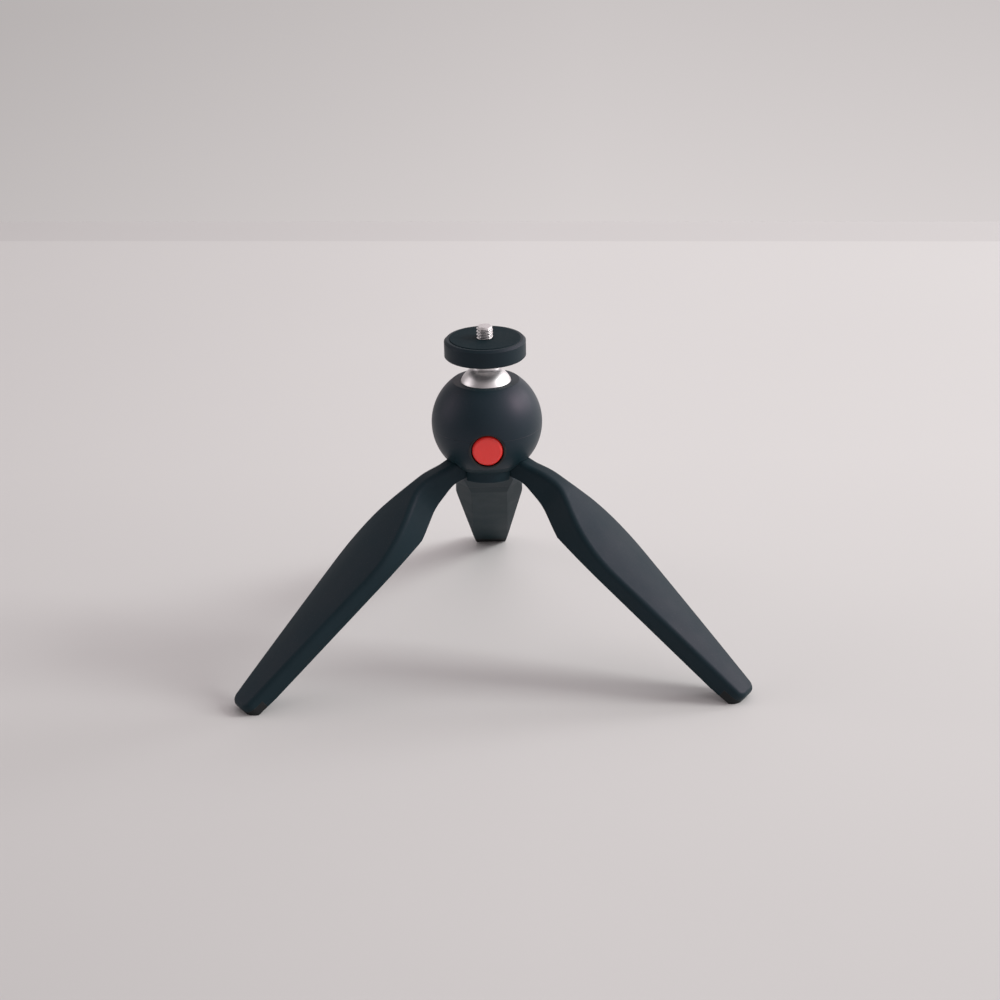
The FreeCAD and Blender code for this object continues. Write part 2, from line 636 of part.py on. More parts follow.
# Mechanism plate: closes the release mechanism from above, guides the brake stem and carries
# the tab that the button's spring pushes against.
plate_top = parting + mm.plate_thick
plate = new_body("MechanismPlate")
disc = new_sketch(plate, "disc", "XY_Plane", parting)
draw_circle(disc, 0, 0, at_level(inner_radius, parting) - mm.plate_gap)
draw_circle(disc, 0, 0, mm.stem_radius + mm.stem_gap)
for hole_x, hole_y in thirds(90, mm.boss_place):
    draw_circle(disc, hole_x, hole_y, mm.screw_radius + mm.screw_gap)
pad(plate, disc, mm.plate_thick)
notch = new_sketch(plate, "notch", "XY_Plane", parting)
notch_half = mm.sleeve_radius + mm.notch_gap
draw_outline(notch, [
    Corner(-notch_half, -BEYOND),
    Corner(notch_half, -BEYOND),
    Corner(notch_half, -plunger_reach),
    Corner(-notch_half, -plunger_reach),
])
pocket(plate, notch, mm.plate_thick, both_ways=False, other_way=True)
tab = new_sketch(plate, "tab", "XY_Plane", parting)
draw_outline(tab, [
    Corner(-mm.tab_half, -tab_face),
    Corner(mm.tab_half, -tab_face),
    Corner(mm.tab_half, -tab_face + mm.tab_thick),
    Corner(-mm.tab_half, -tab_face + mm.tab_thick),
])
pad(plate, tab, mm.fork_bottom - mm.parting_drop).Reversed = True
keep_in_housing("mechanism_plate", plate)
plate_screws = screw_group("PlateScrews", 90, mm.boss_place, plate_top, plate_top + mm.plate_screw_tip,
                           head_up=True)
keep_in_housing("mechanism_plate_screws", plate_screws)

# Ball seat: a slippery plastic ring that wraps the ball's middle.
seat_ball = mm.ball_radius + mm.seat_gap
seat_ring = turned_part("SeatRing", [
    Corner(at_level(seat_ball, seat_bottom, mm.ball_rise), seat_bottom),
    Corner(mm.seat_radius - mm.seat_gap, seat_bottom),
    Corner(mm.seat_radius - mm.seat_gap, mm.seat_top - mm.seat_gap),
    Corner(at_level(seat_ball, mm.seat_top - mm.seat_gap, mm.ball_rise), mm.seat_top - mm.seat_gap,
           arc=(0, mm.ball_rise, seat_ball)),
])
keep_in_housing("ball_seat_ring", seat_ring)

# Ball stud: ball, neck, flange and the journal that the platform turns on, one turned piece.
flange_top = mm.platform_bottom - mm.platform_gap
neck_start = mm.ball_rise + across(mm.ball_radius, mm.stud_neck)
clip_level = mm.platform_bottom + mm.platform_floor + mm.journal_gap
ball_stud = turned_part("BallStud", [
    Corner(0, mm.ball_rise - mm.ball_radius, arc=(0, mm.ball_rise, mm.ball_radius)),
    Corner(mm.ball_radius, mm.ball_rise, arc=(0, mm.ball_rise, mm.ball_radius)),
    Corner(mm.stud_neck, neck_start),
    Corner(mm.stud_neck, flange_top - mm.flange_rise),
    Corner(mm.flange_radius, flange_top - mm.flange_edge),
    Corner(mm.flange_radius, flange_top),
    Corner(mm.journal_radius, flange_top),
    Corner(mm.journal_radius, clip_level),
    Corner(mm.clip_seat, clip_level),
    Corner(mm.clip_seat, clip_level + mm.clip_thick),
    Corner(mm.journal_radius, clip_level + mm.clip_thick),
    Corner(mm.journal_radius, mm.journal_top),
    Corner(0, mm.journal_top),
])
doc.recompute()
neck_foot = [f"Edge{index}" for index, edge in enumerate(ball_stud.Shape.Edges, start=1)
             if edge.BoundBox.ZLength < 0.01 and abs(edge.BoundBox.ZMax - neck_start.value) < 0.01]
neck_fillet = ball_stud.newObject("PartDesign::Fillet", "NeckFillet")
neck_fillet.Base = (ball_stud.Group[1], neck_foot)
neck_fillet.setExpression("Radius", mm.neck_fillet.formula)
keep_in_housing("ball_stud", ball_stud)

# Retaining clip in the journal's groove, inside the platform.
clip = turned_part("StudClip", [
    Corner(mm.clip_seat, clip_level),
    Corner(mm.clip_radius, clip_level),
    Corner(mm.clip_radius, clip_level + mm.clip_thick),
    Corner(mm.clip_seat, clip_level + mm.clip_thick),
])
keep_in_housing("stud_clip", clip)

# Platform: the round disc that the camera sits on, hollow for the clip and the screw's flange.
pad_top = mm.platform_top + mm.pad_proud
pad_seat = pad_top - mm.pad_thick
screw_seat = pad_seat - mm.flange_thick
journal_bore = mm.journal_radius + mm.journal_gap
platform = turned_part("Platform", [
    Corner(journal_bore, mm.platform_bottom),
    Corner(mm.platform_radius - mm.platform_foot, mm.platform_bottom),
    Corner(mm.platform_radius, mm.platform_bottom + mm.platform_foot),
    Corner(mm.platform_radius, mm.platform_top - mm.platform_edge),
    Corner(mm.platform_radius - mm.platform_edge, mm.platform_top),
    Corner(mm.pad_radius, mm.platform_top),
    Corner(mm.pad_radius, pad_seat),
    Corner(mm.flange_reach, pad_seat),
    Corner(mm.flange_reach, screw_seat),
    Corner(mm.clip_room, screw_seat),
    Corner(mm.clip_room, mm.platform_bottom + mm.platform_floor),
    Corner(journal_bore, mm.platform_bottom + mm.platform_floor),
])
keep_in_housing("platform_disc", platform)
rubber = turned_part("PlatformPad", [
    Corner(mm.thread_radius + mm.thread_gap, pad_seat),
    Corner(mm.pad_radius, pad_seat),
    Corner(mm.pad_radius, pad_top - mm.pad_edge),
    Corner(mm.pad_radius - mm.pad_edge, pad_top),
    Corner(mm.thread_radius + mm.thread_gap, pad_top),
])
keep_in_housing("platform_pad", rubber)
screw_tip = pad_top + mm.thread_rise
camera_screw = turned_part("CameraScrew", [
    Corner(0, screw_seat),
    Corner(mm.flange_reach, screw_seat),
    Corner(mm.flange_reach, pad_seat),
    Corner(mm.thread_relief, pad_seat),
    Corner(mm.thread_relief, pad_top),
    Corner(mm.thread_radius, pad_top),
    Corner(mm.thread_radius, screw_tip - mm.thread_bevel),
    Corner(mm.thread_radius - mm.thread_bevel, screw_tip),
    Corner(0, screw_tip),
])
keep_in_housing("camera_screw", camera_screw)

# Release button: a red cap on a plunger that slides in a sleeve. Drawn standing up, with the
# axis along Z, and laid down so that it points forward.
LAID_DOWN = FreeCAD.Rotation(FreeCAD.Vector(1, 0, 0), 90)


def keep_on_button_axis(label, thing):
    """A piece drawn about the button's axis, its own +Z forward."""
    keep(label, thing, FreeCAD.Placement(FreeCAD.Vector(0, 0, 0), LAID_DOWN))
    thing.setExpression("Placement.Base.z", (mm.housing_height - mm.button_drop).formula)
    return thing


spring_radius = mm.spring_bore - mm.spring_gap
plunger_bore_end = cap_back - mm.plunger_floor
sleeve = turned_part("ButtonSleeve", [
    Corner(mm.plunger_radius + mm.plunger_gap, sleeve_back),
    Corner(mm.sleeve_radius, sleeve_back),
    Corner(mm.sleeve_radius, mm.sleeve_face, rounding=mm.sleeve_edge),
    Corner(mm.plunger_radius + mm.plunger_gap, mm.sleeve_face, rounding=mm.sleeve_edge),
])
keep_on_button_axis("button_sleeve", sleeve)
cap = turned_part("ButtonCap", [
    Corner(0, cap_back),
    Corner(mm.button_radius, cap_back),
    Corner(mm.button_radius, mm.button_face, rounding=mm.button_edge),
    Corner(0, mm.button_face),
])
keep_on_button_axis("button_cap", cap)
plunger = turned_part("ButtonPlunger", [
    Corner(mm.spring_bore, plunger_back),
    Corner(mm.plunger_radius, plunger_back),
    Corner(mm.plunger_radius, cap_back),
    Corner(0, cap_back),
    Corner(0, plunger_bore_end),
    Corner(mm.spring_bore, plunger_bore_end),
])
keep_on_button_axis("button_plunger", plunger)
return_spring = turned_part("ReturnSpring", [
    Corner(spring_radius - mm.spring_wire, tab_face),
    Corner(spring_radius, tab_face),
    Corner(spring_radius, plunger_bore_end),
    Corner(spring_radius - mm.spring_wire, plunger_bore_end),
])
keep_on_button_axis("button_return_spring", return_spring)

# Release fork: its arms straddle the brake stem, and their slanted slots pull it down.
fork_front = -plunger_back
arms_front = fork_front + mm.fork_base
fork = new_body("ReleaseFork")
plan = new_sketch(fork, "plan", "XY_Plane", -mm.fork_bottom)
draw_outline(plan, [
    Corner(-mm.fork_outside, fork_front),
    Corner(mm.fork_outside, fork_front),
    Corner(mm.fork_outside, mm.fork_reach),
    Corner(mm.fork_inside, mm.fork_reach),
    Corner(mm.fork_inside, arms_front),
    Corner(-mm.fork_inside, arms_front),
    Corner(-mm.fork_inside, mm.fork_reach),
    Corner(-mm.fork_outside, mm.fork_reach),
])
pad(fork, plan, mm.fork_bottom - mm.fork_top)
spring_way = new_sketch(fork, "spring_way", "XZ_Plane")
draw_circle(spring_way, 0, -mm.button_drop, mm.spring_bore)
pocket(fork, spring_way)
cam_room = mm.cam_radius + mm.cam_gap
slots = new_sketch(fork, "slots", "YZ_Plane")
cam_low = -mm.cam_drop - mm.brake_travel
draw_outline(slots, [
    Corner(-mm.button_travel - cam_room, cam_low - cam_room),
    Corner(-mm.button_travel + mm.cam_gap, cam_low - cam_room),
    Corner(cam_room, -mm.cam_drop - cam_room),
    Corner(cam_room, -mm.cam_drop + cam_room),
    Corner(-mm.cam_gap, -mm.cam_drop + cam_room),
    Corner(-mm.button_travel - cam_room, cam_low + cam_room),
])
pocket(fork, slots)
keep_in_housing("release_fork", fork)

# Brake cup: a cup on a hollow stem that a spring presses up against the ball. Two cam pins on
# the stem sit in the fork's slots.
brake_cup = turned_part("BrakeCup", [
    Corner(mm.spring_bore, -mm.stem_bottom),
    Corner(mm.stem_radius, -mm.stem_bottom),
    Corner(mm.stem_radius, mm.cup_bottom),
    Corner(mm.cup_radius, mm.cup_bottom),
    Corner(mm.cup_radius, mm.ball_rise - across(seat_ball, mm.cup_radius),
           arc=(0, mm.ball_rise, seat_ball)),
    Corner(0, mm.ball_rise - seat_ball),
    Corner(0, -mm.bore_top),
    Corner(mm.spring_bore, -mm.bore_top),
])
cams = new_sketch(brake_cup, "cams", "YZ_Plane")
draw_circle(cams, 0, -mm.cam_drop, mm.cam_radius)
pad(brake_cup, cams, mm.fork_outside * 2, both_ways=True)
stem_bore = new_sketch(brake_cup, "stem_bore", "XY_Plane", -mm.stem_bottom)
draw_circle(stem_bore, 0, 0, mm.spring_bore)
pocket(brake_cup, stem_bore, mm.stem_bottom - mm.bore_top, both_ways=False, other_way=True)
keep_in_housing("brake_cup", brake_cup)
brake_spring = turned_part("BrakeSpring", [
    Corner(spring_radius - mm.spring_wire, -mm.floor_drop),
    Corner(spring_radius, -mm.floor_drop),
    Corner(spring_radius, -mm.bore_top),
    Corner(spring_radius - mm.spring_wire, -mm.bore_top),
])
keep_in_housing("brake_spring", brake_spring)

# Leg pieces, drawn once with the pivot at the origin and the leg folded straight down: +X is
# outward from the tripod's centre line, Y across the leg.
SEAM_ANGLE = Size(60.0)
WIDE_TURN = 70.0
seam_slope = sine(SEAM_ANGLE) / cosine(SEAM_ANGLE)
crown_axis = mm.back_out - mm.back_crown
leg_inside = -mm.knuckle_radius
tray_inside = leg_inside + mm.tray_wall
pivot_height = mm.housing_height - mm.pivot_drop
FAR_OUT = 12.0


def sole_drop(outward):
    """How far along the folded leg the tabletop lies when the leg is open."""
    return (pivot_height + outward * sine(mm.open_angle)) / cosine(mm.open_angle)


def crowned_back(body, corners):
    """Turns the side outline about a far axis, which crowns the outer face."""
    sketch = new_sketch(body, "side", "XZ_Plane")
    draw_outline(sketch, corners)
    draw_axis(sketch, Corner(crown_axis, -BEYOND), Corner(crown_axis, BEYOND))
    revolve(body, sketch, axis="Axis0", angle=WIDE_TURN)


def cut_outside_plan(body, inset):
    """Cuts away what lies outside the leg's plan, drawn in by an inset."""
    def half(width):
        return width - inset

    top = mm.knuckle_radius * 2
    right = [
        (half(mm.neck_half), top, None),
        (half(mm.neck_half), -mm.neck_end, mm.neck_round),
        (half(mm.shoulder_half), -mm.shoulder_at, mm.shoulder_round),
        (half(mm.foot_half), -mm.leg_tip, mm.foot_round),
    ]
    sketch = new_sketch(body, "plan", "YZ_Plane")
    draw_outline(sketch, [Corner(*corner) for corner in right]
                 + [Corner(-y, z, rounding) for y, z, rounding in reversed(right)])
    frame_end = -mm.leg_tip - BEYOND
    draw_outline(sketch, [
        Corner(BEYOND, top),
        Corner(BEYOND, frame_end),
        Corner(-BEYOND, frame_end),
        Corner(-BEYOND, top),
    ])
    pocket(body, sketch)


def cut_seams(body, depth):
    """Bevels both sides so that three folded legs close up; depth is measured from the seam."""
    shift = depth * 2
    sketch = new_sketch(body, "seams", "XY_Plane")
    start = shift / seam_slope - pivot_radius
    for side in (1, -1):
        draw_outline(sketch, [
            Corner(start, 0),
            Corner(FAR_OUT, (seam_slope * (Size(FAR_OUT) + pivot_radius) - shift) * side),
            Corner(FAR_OUT, BEYOND * side),
            Corner(-BEYOND, BEYOND * side),
            Corner(-BEYOND, 0),
        ])
    pocket(body, sketch)


back_slope = (mm.back_out - mm.toe_out) / (mm.leg_tip - mm.back_at)
blank_end = mm.leg_tip + mm.leg_edge
leg_blank = new_body("LegBlank")
crowned_back(leg_blank, [
    Corner(leg_inside, 0, arc=(*CENTRE, mm.knuckle_radius)),
    Corner(0, mm.knuckle_radius, arc=(*CENTRE, mm.knuckle_radius)),
    Corner(mm.knuckle_radius, 0),
    Corner(mm.throat_out, -mm.throat_at, rounding=mm.throat_round),
    Corner(mm.back_out, -mm.back_at, rounding=mm.back_round),
    Corner(mm.toe_out - back_slope * mm.leg_edge, -blank_end),
    Corner(leg_inside, -blank_end),
])
waist_x = -mm.knuckle_radius * cosine(mm.waist_lean)
waist_z = -mm.knuckle_radius * sine(mm.waist_lean)
inner_cut = new_sketch(leg_blank, "inner_cut", "XZ_Plane")
draw_outline(inner_cut, [
    Corner(leg_inside, mm.knuckle_radius * 2),
    Corner(leg_inside, 0, arc=(*CENTRE, mm.knuckle_radius)),
    Corner(waist_x, waist_z),
    Corner(waist_x + mm.waist_reach * sine(mm.waist_lean),
           waist_z - mm.waist_reach * cosine(mm.waist_lean), rounding=mm.waist_round),
    Corner(leg_inside, -mm.waist_end, rounding=mm.waist_foot),
    Corner(leg_inside, -sole_drop(leg_inside)),
    Corner(FAR_OUT, -sole_drop(Size(FAR_OUT))),
    Corner(-BEYOND, -sole_drop(Size(FAR_OUT))),
    Corner(-BEYOND, mm.knuckle_radius * 2),
])
pocket(leg_blank, inner_cut)
cut_outside_plan(leg_blank, Size(0.0))
cut_seams(leg_blank, mm.seam_gap)
pin_way = new_sketch(leg_blank, "pin_way", "XZ_Plane")
draw_circle(pin_way, 0, 0, mm.pin_radius + mm.neck_bore_gap)
pocket(leg_blank, pin_way)
doc.recompute()


def faces_outward(face, place):
    u, v = face.Surface.parameter(place)
    return face.normalAt(u, v).x


def back_edges(shape):
    """The edges between the crowned outer face and the side walls, below the knuckle."""
    names = []
    for index, edge in enumerate(shape.Edges, start=1):
        middle = edge.valueAt((edge.FirstParameter + edge.LastParameter) / 2)
        sides = shape.ancestorsOfType(edge, Part.Face)
        leans = sorted(faces_outward(face, middle) for face in sides)
        if len(leans) == 2 and abs(leans[0]) < 0.1 and leans[1] > 0.5 and middle.z < -1:
            names.append(f"Edge{index}")
    return names


edge_rounding = leg_blank.newObject("PartDesign::Fillet", "BackEdges")
edge_rounding.Base = (leg_blank.Group[-2], back_edges(leg_blank.Shape))
edge_rounding.setExpression("Radius", mm.leg_edge.formula)
doc.recompute()

# Steel core of a leg: a strip with an eye for the hinge pin, moulded into the leg's neck.
core = new_body("LegCore")
core_side = new_sketch(core, "side", "XZ_Plane")
core_outside = mm.core_inside + mm.core_thick
draw_outline(core_side, [
    Corner(-mm.core_eye, 0, arc=(*CENTRE, mm.core_eye)),
    Corner(0, mm.core_eye, arc=(*CENTRE, mm.core_eye)),
    Corner(mm.core_eye, 0),
    Corner(core_outside, -mm.core_bend),
    Corner(core_outside, -mm.core_end),
    Corner(mm.core_inside, -mm.core_end),
    Corner(mm.core_inside, -mm.core_bend),
])
draw_circle(core_side, 0, 0, mm.pin_radius + mm.pin_gap)
pad(core, core_side, mm.core_half * 2, both_ways=True)

# Inner cover of a leg: a tray with bevelled sides that closes the hollow leg from inside.
cover_zone = new_body("CoverZone")
zone_plan = new_sketch(cover_zone, "plan", "XY_Plane", -mm.tray_start)
tray_shift = (mm.seam_gap + mm.tray_wall) * 2


def tray_half(outward):
    """Half the room between the tray's bevelled sides, at this place outward of the pivot."""
    return seam_slope * (outward + pivot_radius) - tray_shift


zone_far = Size(FAR_OUT)
draw_outline(zone_plan, [
    Corner(tray_inside, -tray_half(tray_inside)),
    Corner(tray_inside, tray_half(tray_inside)),
    Corner(zone_far, tray_half(zone_far)),
    Corner(zone_far, BEYOND),
    Corner(-BEYOND, BEYOND),
    Corner(-BEYOND, -BEYOND),
    Corner(zone_far, -BEYOND),
    Corner(zone_far, -tray_half(zone_far)),
])
pad(cover_zone, zone_plan, mm.tray_end - mm.tray_start).Reversed = True

# Foot zone: the end of the leg's inner side, made of rubber.
foot_zone = new_body("FootZone")
foot_plan = new_sketch(foot_zone, "plan", "XY_Plane", -mm.tray_end)
draw_outline(foot_plan, [
    Corner(leg_inside + mm.pad_depth, -BEYOND),
    Corner(leg_inside + mm.pad_depth, BEYOND),
    Corner(-BEYOND, BEYOND),
    Corner(-BEYOND, -BEYOND),
])
pad(foot_zone, foot_plan, Size(BEYOND)).Reversed = True

# Hollow of a leg: the blank drawn in by the wall, open towards the inner cover.
hollow = new_body("LegHollow")
hollow_inside = leg_inside * 2
hollow_end = mm.tray_end - mm.leg_wall


def under_back(along):
    """The hollow's outer side at this distance from the pivot, one wall inside the leg's back."""
    return mm.back_out - mm.leg_wall - back_slope * (along - mm.back_at)


crowned_back(hollow, [
    Corner(hollow_inside, -mm.hollow_start),
    Corner(under_back(mm.hollow_start), -mm.hollow_start),
    Corner(under_back(hollow_end), -hollow_end),
    Corner(hollow_inside, -hollow_end),
])
cut_outside_plan(hollow, mm.leg_wall)

inner_cover = combine("Common", "InnerCover", leg_blank, [cover_zone])
foot_pad = combine("Common", "FootPad", leg_blank, [foot_zone])
outer_shell = combine("Cut", "OuterShell", leg_blank, [cover_zone, foot_zone, hollow, core])


def keep_on_pivot(name, thing, direction, rotation):
    """One leg's own copy of a piece, on the pivot that lies in this direction."""
    copy = doc.addObject("Part::Compound", name)
    copy.Links = [thing]
    keep(name, copy, FreeCAD.Placement(FreeCAD.Vector(0, 0, 0), rotation))
    copy.setExpression("Placement.Base.x", (pivot_radius * cosine(direction)).formula)
    copy.setExpression("Placement.Base.y", (pivot_radius * sine(direction)).formula)
    copy.setExpression("Placement.Base.z", pivot_height.formula)


# Hinge pin and friction washers, drawn on a leg's pivot with the pin along Y.
hinge_pin = doc.addObject("Part::Cylinder", "HingePin")
hinge_pin.setExpression("Radius", mm.pin_radius.formula)
hinge_pin.setExpression("Height", (mm.pin_half * 2).formula)
hinge_pin.Placement = FreeCAD.Placement(FreeCAD.Vector(0, 0, 0), LAID_DOWN)
hinge_pin.setExpression("Placement.Base.y", mm.pin_half.formula)
washers = new_body("FrictionWashers")
washer_plan = new_sketch(washers, "plan", "XZ_Plane")
draw_circle(washer_plan, 0, 0, mm.washer_radius)
draw_circle(washer_plan, 0, 0, mm.pin_radius)
pad(washers, washer_plan, mm.slot_half * 2, both_ways=True)
washer_room = new_sketch(washers, "room", "XZ_Plane")
draw_circle(washer_room, 0, 0, mm.washer_radius * 2)
pocket(washers, washer_room, (mm.slot_half - mm.washer_thick) * 2)

LEGS = (("rear", 90), ("front_left", 210), ("front_right", 330))
LEG_PIECES = (
    ("shell", outer_shell),
    ("inner_cover", inner_cover),
    ("core", core),
    ("foot_pad", foot_pad),
)
for leg, direction in LEGS:
    turned = FreeCAD.Rotation(FreeCAD.Vector(0, 0, 1), direction)
    opened = turned * FreeCAD.Rotation(FreeCAD.Vector(0, 1, 0), -mm.open_angle.value)
    keep_on_pivot(f"hinge_pin_{leg}", hinge_pin, Size(direction), turned)
    keep_on_pivot(f"friction_washers_{leg}", washers, Size(direction), turned)
    for piece, thing in LEG_PIECES:
        keep_on_pivot(f"leg_{leg}_{piece}", thing, Size(direction), opened)

doc.recompute()

faults = [thing.Name for thing in doc.Objects if "Invalid" in thing.State or "Error" in thing.State]
for label, thing in nodes:
    if thing.Shape.isNull() or not thing.Shape.isValid() or not thing.Shape.Solids:
        faults.append(label)
if faults:
    raise RuntimeError(f"these did not build: {faults}")

os.makedirs("parts", exist_ok=True)
for label, thing in nodes:
    thing.Shape.exportStep(f"parts/{label}.step")
    box = thing.Shape.optimalBoundingBox()
    print(
        f"{label:32s} {len(thing.Shape.Solids)} solids  {thing.Shape.Volume:9.1f} mm3",
        f"x {box.XMin:7.2f} {box.XMax:7.2f}",
        f"y {box.YMin:7.2f} {box.YMax:7.2f}",
        f"z {box.ZMin:7.2f} {box.ZMax:7.2f}",
        sep="  ",
    )
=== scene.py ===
import math

import bpy
from mathutils import Matrix, Vector


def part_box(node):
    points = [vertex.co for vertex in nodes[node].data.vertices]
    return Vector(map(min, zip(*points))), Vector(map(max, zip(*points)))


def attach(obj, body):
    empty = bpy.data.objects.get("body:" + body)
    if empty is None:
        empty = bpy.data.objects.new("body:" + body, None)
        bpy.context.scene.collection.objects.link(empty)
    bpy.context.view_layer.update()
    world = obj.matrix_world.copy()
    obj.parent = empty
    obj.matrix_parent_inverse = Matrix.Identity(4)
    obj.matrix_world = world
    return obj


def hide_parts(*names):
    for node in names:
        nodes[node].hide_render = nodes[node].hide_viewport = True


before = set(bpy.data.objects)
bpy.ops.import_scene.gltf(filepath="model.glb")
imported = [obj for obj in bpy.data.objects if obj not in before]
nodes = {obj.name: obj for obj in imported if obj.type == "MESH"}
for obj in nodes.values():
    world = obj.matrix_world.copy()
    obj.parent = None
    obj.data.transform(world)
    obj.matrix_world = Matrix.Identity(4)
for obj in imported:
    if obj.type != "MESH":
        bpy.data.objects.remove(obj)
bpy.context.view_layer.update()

# Housing shells
# Two half balls of black moulded plastic with a soft-touch coating, clipped together on a
# spigot just below the middle. Hands polish the coating along the edges and dust sits on top.


def lay(tree, kind, feeds=(), **options):
    """Adds a node with its options. Feeds give each input a value or another node's socket."""
    node = tree.nodes.new(kind)
    for option, value in options.items():
        setattr(node, option, value)
    for name, value in dict(feeds).items():
        socket = node.inputs[name]
        if isinstance(value, bpy.types.NodeSocket):
            tree.links.new(value, socket)
        else:
            socket.default_value = value
    return node


def number(tree, operation, *values):
    node = lay(tree, "ShaderNodeMath", dict(enumerate(values)), operation=operation)
    return node.outputs[0]


def spread(tree, value, low, high, new_low=0.0, new_high=1.0):
    """Stretches the range low to high over a new range, and holds it there."""
    feeds = {0: value, 1: low, 2: high, 3: new_low, 4: new_high}
    return lay(tree, "ShaderNodeMapRange", feeds).outputs[0]


def blend(tree, share, first, second):
    feeds = {0: share, 6: first, 7: second}
    return lay(tree, "ShaderNodeMix", feeds, data_type="RGBA").outputs[2]


def new_group(name, inputs, outputs):
    """An empty shader group with float inputs and their usual values, and typed outputs."""
    group = bpy.data.node_groups.new(name, "ShaderNodeTree")
    for socket, value in inputs.items():
        made = group.interface.new_socket(socket, in_out="INPUT", socket_type="NodeSocketFloat")
        made.default_value = value
    for socket, kind in outputs.items():
        group.interface.new_socket(socket, in_out="OUTPUT", socket_type=kind)
    taken = group.nodes.new("NodeGroupInput").outputs
    given = group.nodes.new("NodeGroupOutput").inputs
    return group, taken, given


def give(group, given, **sockets):
    for name, socket in sockets.items():
        group.links.new(socket, given[name])


# Edge wear: where an edge is rounded off by use, and the rounded normal that catches the light.
edge_wear, taken, given = new_group(
    "Edge wear",
    {"Radius": 0.0003, "Patch size": 220.0},
    {"Mask": "NodeSocketFloat", "Normal": "NodeSocketVector"},
)
rounded = lay(edge_wear, "ShaderNodeBevel", {"Radius": taken["Radius"]}, samples=6)
surface = lay(edge_wear, "ShaderNodeNewGeometry")
likeness = lay(edge_wear, "ShaderNodeVectorMath",
               {0: rounded.outputs[0], 1: surface.outputs["Normal"]}, operation="DOT_PRODUCT")
turned_away = number(edge_wear, "SUBTRACT", 1.0, likeness.outputs["Value"])
place = lay(edge_wear, "ShaderNodeTexCoord")
patches = lay(edge_wear, "ShaderNodeTexNoise",
              {"Vector": place.outputs["Object"], "Scale": taken["Patch size"], "Detail": 4.0})
patchy = spread(edge_wear, patches.outputs[0], 0.38, 0.62)
sharp = spread(edge_wear, turned_away, 0.02, 0.22)
worn = number(edge_wear, "MULTIPLY", sharp, patchy)
give(edge_wear, given, Mask=worn, Normal=rounded.outputs[0])

# Moulded skin: a fine spark-eroded grain, cloudy tone, and specks of dust on what faces up.
DUST_SIZE = 2600.0
DUST_COLOUR = (0.30, 0.28, 0.27)
moulded_skin, taken, given = new_group(
    "Moulded skin",
    {"Grain": 4200.0, "Cloud size": 45.0},
    {"Height": "NodeSocketFloat", "Tone": "NodeSocketFloat", "Dust": "NodeSocketFloat"},
)
place = lay(moulded_skin, "ShaderNodeTexCoord")
fine = lay(moulded_skin, "ShaderNodeTexNoise",
           {"Vector": place.outputs["Object"], "Scale": taken["Grain"], "Detail": 3.0})
cloud = lay(moulded_skin, "ShaderNodeTexNoise",
            {"Vector": place.outputs["Object"], "Scale": taken["Cloud size"], "Detail": 5.0,
             "Roughness": 0.6})
specks = lay(moulded_skin, "ShaderNodeTexNoise",
             {"Vector": place.outputs["Object"], "Scale": DUST_SIZE, "Detail": 2.0})
surface = lay(moulded_skin, "ShaderNodeNewGeometry")
facing = lay(moulded_skin, "ShaderNodeSeparateXYZ", {0: surface.outputs["Normal"]})
upward = spread(moulded_skin, facing.outputs[2], 0.1, 0.9, 0.15, 1.0)
speckled = spread(moulded_skin, specks.outputs[0], 0.63, 0.74)
dusty = number(moulded_skin, "MULTIPLY", speckled, upward)
tone = spread(moulded_skin, cloud.outputs[0], 0.35, 0.65)
give(moulded_skin, given, Height=fine.outputs[0], Tone=tone, Dust=dusty)


def placed_group(tree, group, feeds):
    node = tree.nodes.new("ShaderNodeGroup")
    node.node_tree = group
    for name, value in feeds.items():
        node.inputs[name].default_value = value
    return node


def new_material(name):
    material = bpy.data.materials.new(name)
    material.use_nodes = True
    tree = material.node_tree
    shader = tree.nodes["Principled BSDF"]
    return material, tree, shader


def opaque(colour):
    return (*colour, 1.0)


UNEVEN = 0.05
POLISH = 0.15
GLOSS_ROUGHNESS = 0.12
WHITE = (1.0, 1.0, 1.0)


def moulded(name, colour, cloudy, worn_colour, roughness, grain=4200.0, grain_depth=0.00002,
            edge=0.0003, dust=0.25, specular=0.5, glint=WHITE, gloss=0.0):
    """A moulded plastic or rubber: cloudy tone, grain, rubbed edges and a little dust.

    Glint tints the reflections, and gloss is the weight of a clear coat.
    """
    material, tree, shader = new_material(name)
    skin = placed_group(tree, moulded_skin, {"Grain": grain})
    wear = placed_group(tree, edge_wear, {"Radius": edge})
    body = blend(tree, skin.outputs["Tone"], opaque(colour), opaque(cloudy))
    rubbed = blend(tree, wear.outputs["Mask"], body, opaque(worn_colour))
    settled = number(tree, "MULTIPLY", skin.outputs["Dust"], dust)
    tree.links.new(blend(tree, settled, rubbed, opaque(DUST_COLOUR)), shader.inputs["Base Color"])
    uneven = spread(tree, skin.outputs["Tone"], 0.0, 1.0, roughness - UNEVEN, roughness + UNEVEN)
    polished = number(tree, "MULTIPLY", wear.outputs["Mask"], POLISH)
    tree.links.new(number(tree, "SUBTRACT", uneven, polished), shader.inputs["Roughness"])
    bump = lay(tree, "ShaderNodeBump",
               {"Distance": grain_depth, "Strength": 1.0, "Height": skin.outputs["Height"],
                "Normal": wear.outputs["Normal"]})
    tree.links.new(bump.outputs[0], shader.inputs["Normal"])
    shader.inputs["Specular IOR Level"].default_value = specular
    shader.inputs["Specular Tint"].default_value = opaque(glint)
    shader.inputs["Coat Weight"].default_value = gloss
    shader.inputs["Coat Roughness"].default_value = GLOSS_ROUGHNESS
    return material


def dress(material, *names):
    for name in names:
        for slot in nodes[name].material_slots:
            slot.material = material


